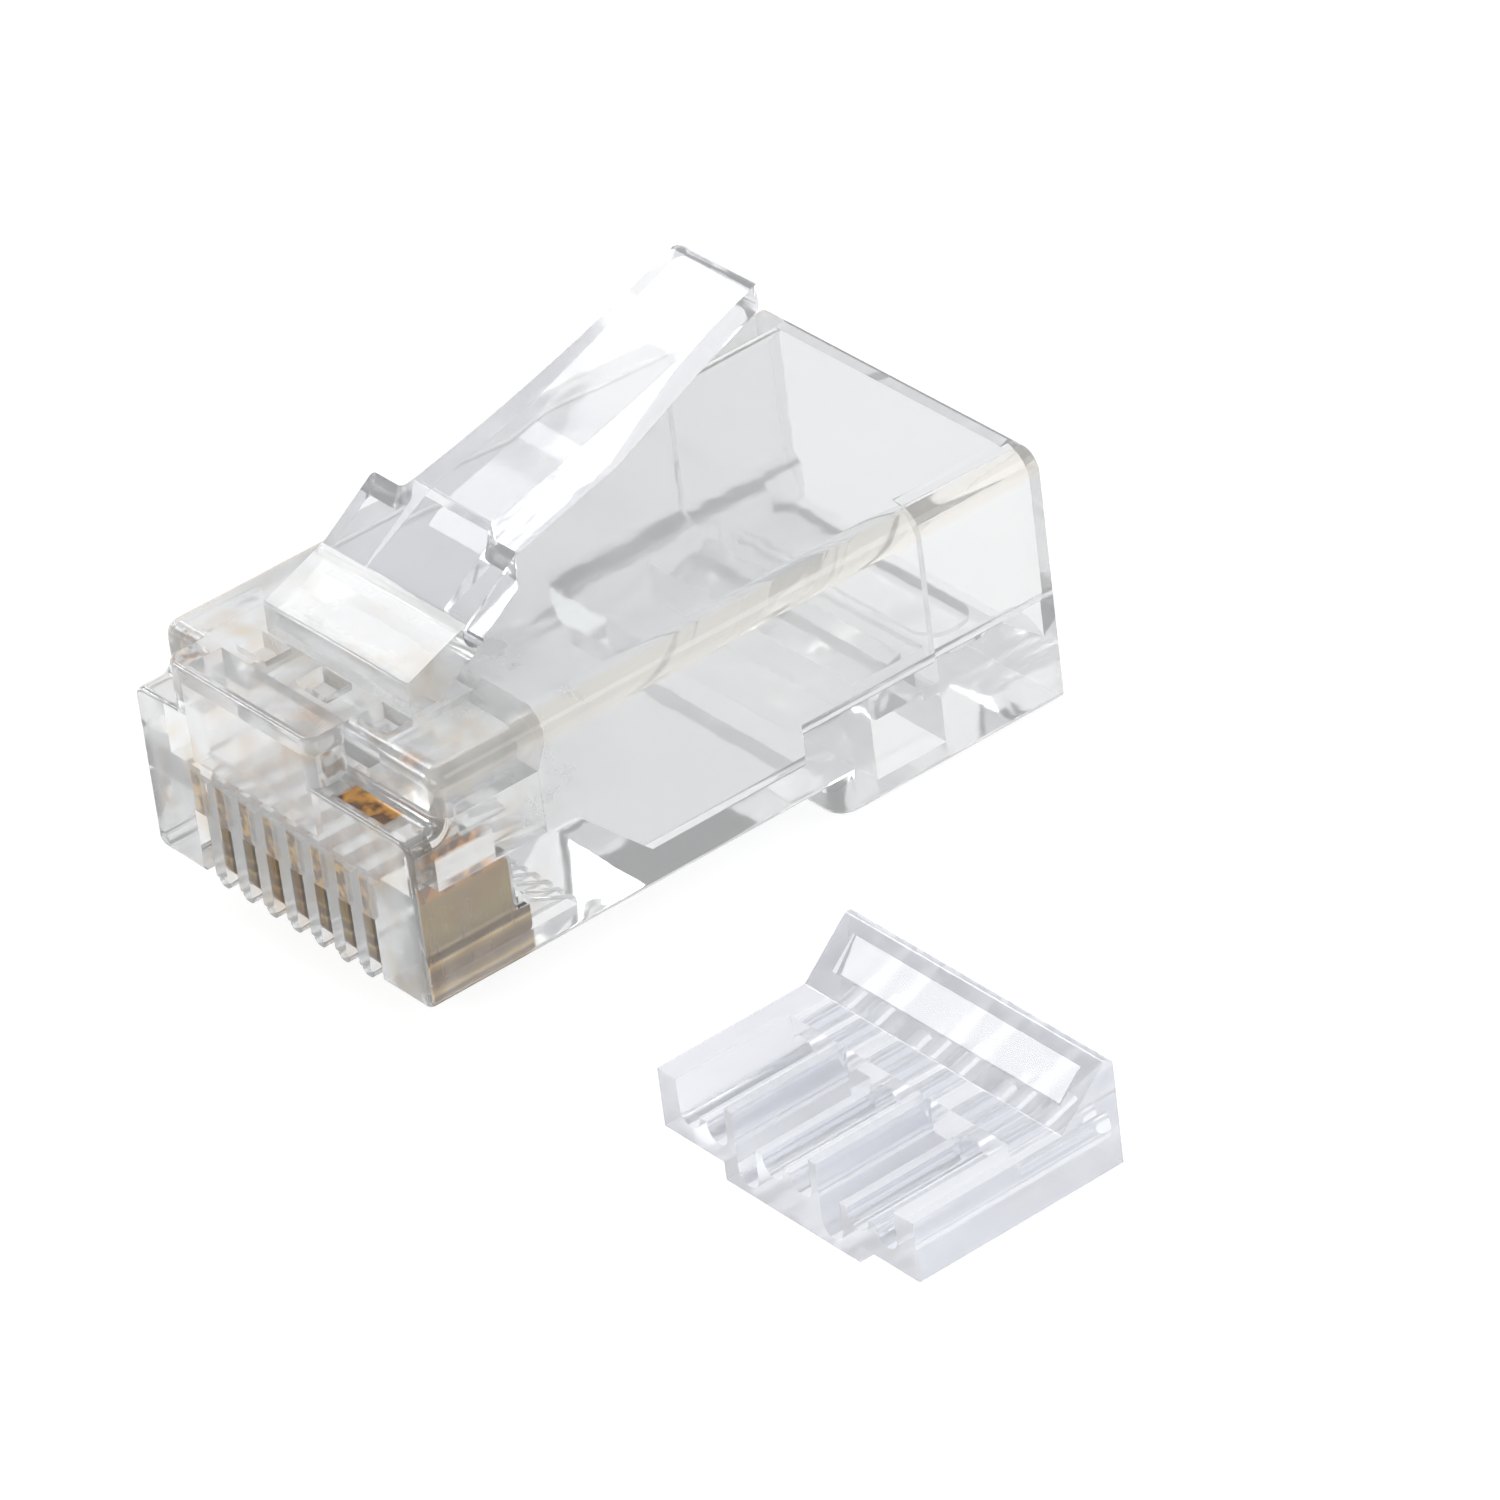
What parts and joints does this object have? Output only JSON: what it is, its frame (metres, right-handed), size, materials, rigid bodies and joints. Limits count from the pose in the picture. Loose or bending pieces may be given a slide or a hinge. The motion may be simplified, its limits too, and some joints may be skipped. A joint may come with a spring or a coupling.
{
  "type": "rj45 modular plug",
  "caption": "Clear eight-position modular plug with a sprung latch, gold-plated blade contacts and a separate wire guide lying beside it.",
  "frame": {"origin": "centre of the flat nose face that goes into the jack first", "axes": "+X across the plug, +Y from the nose to the cable entry, +Z from the contact side to the latch side"},
  "size_m": [0.0292, 0.0214, 0.0137],
  "materials": {
    "clear_shell": "clear, polished",
    "clear_guide": "clear, polished",
    "gold_plating": "bright plated"
  },
  "bodies": {
    "plug": {"housing": "clear_shell", "contact_1": "gold_plating", "contact_2": "gold_plating", "contact_3": "gold_plating", "contact_4": "gold_plating", "contact_5": "gold_plating", "contact_6": "gold_plating", "contact_7": "gold_plating", "contact_8": "gold_plating", "load_bar": "clear_guide"},
    "latch": {"latch": "clear_shell"}
  },
  "joints": [
    {"name": "latch_press", "type": "hinge", "parent": "plug", "child": "latch", "pos_m": [0, 0.00501, 0.00544], "axis": [-1, 0, 0], "range_deg": [0, 24], "stiffness_Nm_per_rad": 0.06}
  ]
}
